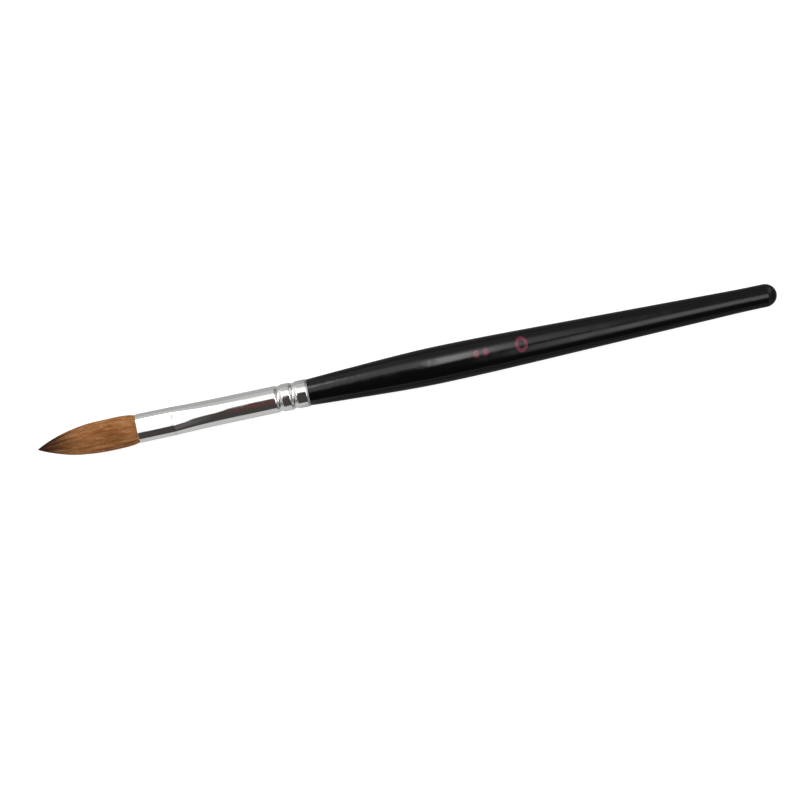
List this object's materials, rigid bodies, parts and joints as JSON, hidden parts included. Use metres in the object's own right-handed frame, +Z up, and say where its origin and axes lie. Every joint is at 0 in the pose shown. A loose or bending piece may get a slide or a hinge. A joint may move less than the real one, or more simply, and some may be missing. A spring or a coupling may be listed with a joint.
{
  "type": "fine detail brush",
  "caption": "Round pointed hair tuft in a crimped metal ferrule, pressed flat at its mouth, on a bellied, lacquered wooden handle.",
  "frame": {"origin": "midway between the hair tip and the handle's end, on the surface that the handle's belly rests on, under the brush's axis", "axes": "+X along the brush from the hair tip to the domed end of the handle, +Z up, square to the ferrule's pressed flats, +Y across the brush"},
  "size_m": [0.18, 0.009, 0.009],
  "materials": {
    "wood": "turned, bare",
    "black_lacquer": "dipped gloss lacquer, black",
    "bright_metal": "bright nickel plate, drawn and rolled",
    "hair": "natural animal hair, golden brown with dark points",
    "waxed_thread": "waxed, twisted",
    "resin": "set resin, amber",
    "cement": "set cement"
  },
  "bodies": {
    "root": {"hair_tuft": "hair", "binding_thread": "waxed_thread", "root_resin": "resin", "ferrule": "bright_metal", "tenon_cement": "cement", "handle_core": "wood", "handle_lacquer": "black_lacquer"}
  },
  "joints": []
}
